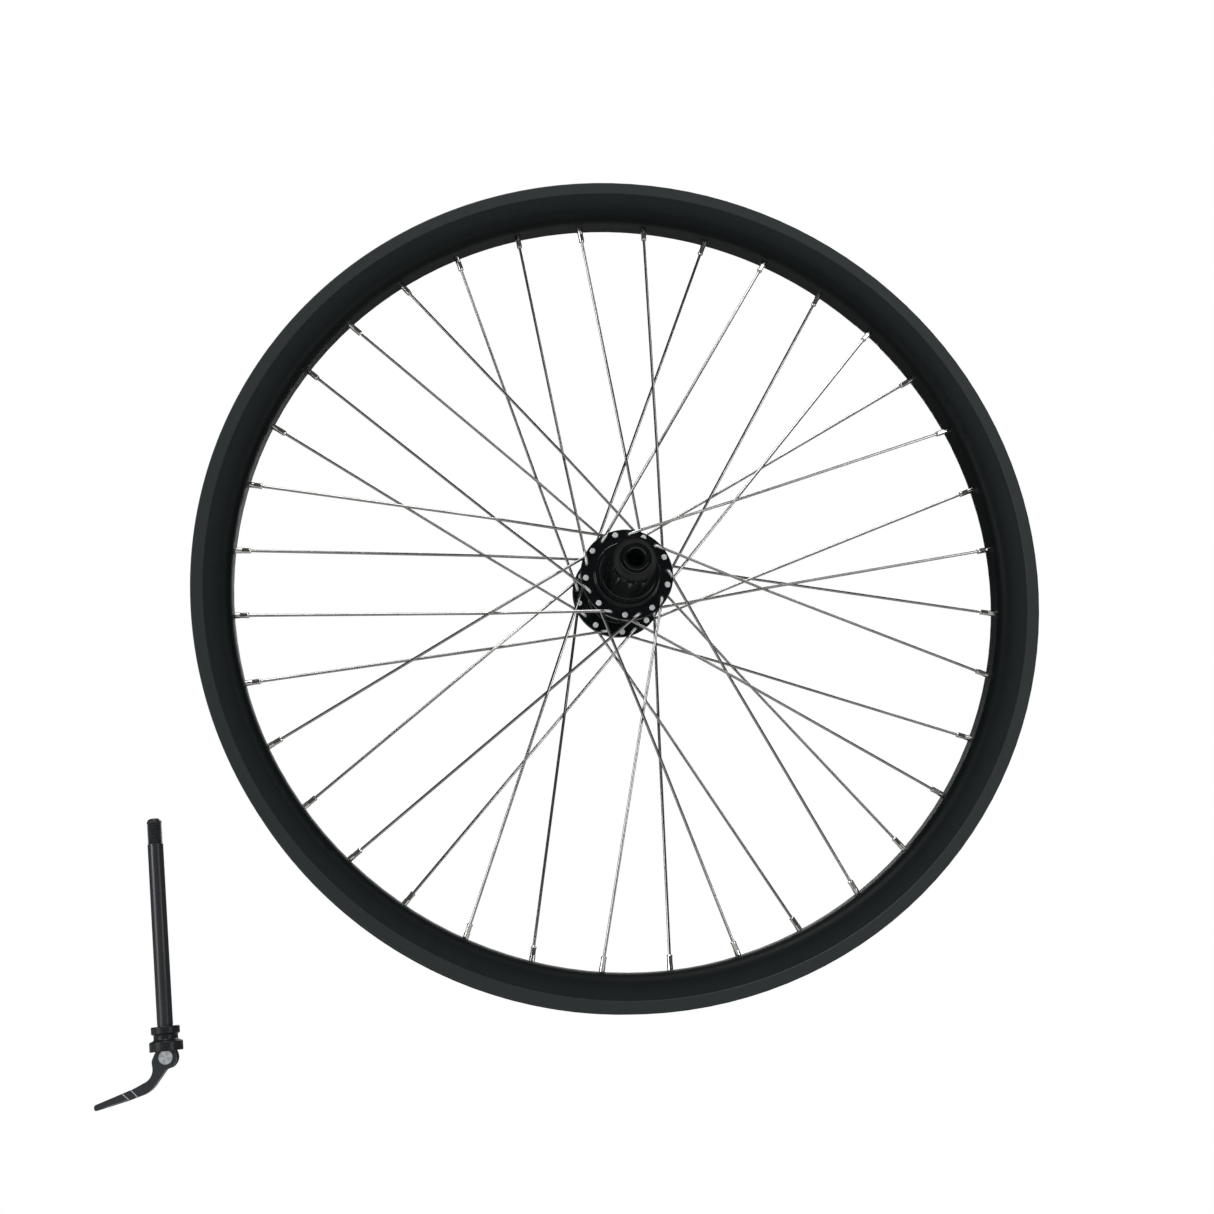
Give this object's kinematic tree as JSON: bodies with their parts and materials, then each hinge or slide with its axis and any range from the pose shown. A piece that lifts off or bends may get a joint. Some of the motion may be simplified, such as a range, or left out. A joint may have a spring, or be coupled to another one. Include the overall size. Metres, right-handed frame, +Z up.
{
  "type": "bicycle rear wheel with through axle",
  "caption": "Spoked bicycle rear wheel without tyre: hollow black rim, crossed steel spokes, disc-brake hub with freehub, and its lever-operated through axle beside it.",
  "frame": {"origin": "the wheel's centre on the hub axis, midway between the two end faces of the hub", "axes": "+Y along the hub axis towards the brake-disc side (the cassette side faces -Y), +Z up across the wheel, +X completes the right-handed frame"},
  "size_m": [0.6847, 0.3085, 0.6546],
  "materials": {
    "rim_black": "satin charcoal",
    "spoke_steel": "drawn stainless wire",
    "nipple_silver": "bright nickel plate",
    "hub_black": "gloss black",
    "freehub_black": "gloss black anodised",
    "cap_black": "satin black anodised",
    "axle_alloy": "black anodised",
    "bearing_steel": "ground",
    "cage_brass": "stamped",
    "seal_rubber": "matte",
    "thru_axle_black": "satin black anodised",
    "washer_brass": "turned",
    "lever_charcoal": "satin charcoal",
    "pin_steel": "turned, radial grain"
  },
  "bodies": {
    "axle": {"hub_axle": "axle_alloy", "end_cap_drive": "cap_black", "end_cap_disc": "cap_black", "hub_spacer": "axle_alloy", "freehub_spacer": "axle_alloy", "shell_drive_inner_race": "bearing_steel", "shell_disc_inner_race": "bearing_steel", "freehub_outer_inner_race": "bearing_steel", "freehub_inner_inner_race": "bearing_steel"},
    "wheel": {"rim": "rim_black", "spokes_disc_inner": "spoke_steel", "spokes_drive_outer": "spoke_steel", "spokes_disc_outer": "spoke_steel", "spokes_drive_inner": "spoke_steel", "nipples_drive": "nipple_silver", "nipples_disc": "nipple_silver", "hub_shell": "hub_black", "ratchet_ring": "bearing_steel", "shell_drive_outer_race": "bearing_steel", "shell_disc_outer_race": "bearing_steel", "disc_side_seal": "seal_rubber"},
    "freehub": {"freehub_body": "freehub_black", "freehub_outer_outer_race": "bearing_steel", "freehub_inner_outer_race": "bearing_steel", "freehub_outer_seal": "seal_rubber", "freehub_inner_seal": "seal_rubber", "pawl_spring": "bearing_steel"},
    "shell_drive_ball_set": {"shell_drive_balls": "bearing_steel", "shell_drive_cage": "cage_brass"},
    "shell_disc_ball_set": {"shell_disc_balls": "bearing_steel", "shell_disc_cage": "cage_brass"},
    "freehub_outer_ball_set": {"freehub_outer_balls": "bearing_steel", "freehub_outer_cage": "cage_brass"},
    "freehub_inner_ball_set": {"freehub_inner_balls": "bearing_steel", "freehub_inner_cage": "cage_brass"},
    "pawl_1": {"pawl_1": "bearing_steel"},
    "pawl_2": {"pawl_2": "bearing_steel"},
    "pawl_3": {"pawl_3": "bearing_steel"},
    "thru_axle": {"thru_axle_shaft": "thru_axle_black"},
    "lever": {"lever": "lever_charcoal", "pivot_pin": "pin_steel"},
    "collar": {"spool_collar": "thru_axle_black", "cam_washer": "washer_brass"}
  },
  "joints": [
    {"name": "wheel_spin", "type": "hinge", "parent": "axle", "child": "wheel", "pos_m": [0, 0, 0], "axis": [0, 1, 0], "continuous": true},
    {"name": "freehub_spin", "type": "hinge", "parent": "axle", "child": "freehub", "pos_m": [0, -0.046, 0], "axis": [0, 1, 0], "continuous": true},
    {"name": "shell_drive_balls_roll", "type": "hinge", "parent": "axle", "child": "shell_drive_ball_set", "pos_m": [0, -0.0085, 0], "axis": [0, 1, 0], "continuous": true},
    {"name": "shell_disc_balls_roll", "type": "hinge", "parent": "axle", "child": "shell_disc_ball_set", "pos_m": [0, 0.0475, 0], "axis": [0, 1, 0], "continuous": true},
    {"name": "freehub_outer_balls_roll", "type": "hinge", "parent": "axle", "child": "freehub_outer_ball_set", "pos_m": [0, -0.0605, 0], "axis": [0, 1, 0], "continuous": true},
    {"name": "freehub_inner_balls_roll", "type": "hinge", "parent": "axle", "child": "freehub_inner_ball_set", "pos_m": [0, -0.0325, 0], "axis": [0, 1, 0], "continuous": true},
    {"name": "pawl_1_swing", "type": "hinge", "parent": "freehub", "child": "pawl_1", "pos_m": [0, -0.02025, 0.0135], "axis": [0, -1, 0], "range_deg": [0, 12]},
    {"name": "pawl_2_swing", "type": "hinge", "parent": "freehub", "child": "pawl_2", "pos_m": [-0.01169, -0.02025, -0.00675], "axis": [0, -1, 0], "range_deg": [0, 12]},
    {"name": "pawl_3_swing", "type": "hinge", "parent": "freehub", "child": "pawl_3", "pos_m": [0.01169, -0.02025, -0.00675], "axis": [0, -1, 0], "range_deg": [0, 12]},
    {"name": "axle_stroke", "type": "slide", "parent": "axle", "child": "thru_axle", "axis": [-0.0785, 0, 0.9969], "range_m": [0, 0.16]},
    {"name": "lever_swing", "type": "hinge", "parent": "thru_axle", "child": "lever", "pos_m": [-0.3347, 0.2248, -0.319], "axis": [0, 1, 0], "range_deg": [-90, 15]},
    {"name": "collar_slide", "type": "slide", "parent": "thru_axle", "child": "collar", "axis": [-0.0785, 0, 0.9969], "range_m": [-0.0006, 0.0001]}
  ],
  "couplings": [
    {"joint": "shell_drive_balls_roll", "follows": "wheel_spin", "ratio": 0.581},
    {"joint": "shell_disc_balls_roll", "follows": "wheel_spin", "ratio": 0.581},
    {"joint": "freehub_outer_balls_roll", "follows": "freehub_spin", "ratio": 0.581},
    {"joint": "freehub_inner_balls_roll", "follows": "freehub_spin", "ratio": 0.581},
    {"joint": "collar_slide", "follows": "lever_swing", "m_per_rad": 0.0003}
  ]
}
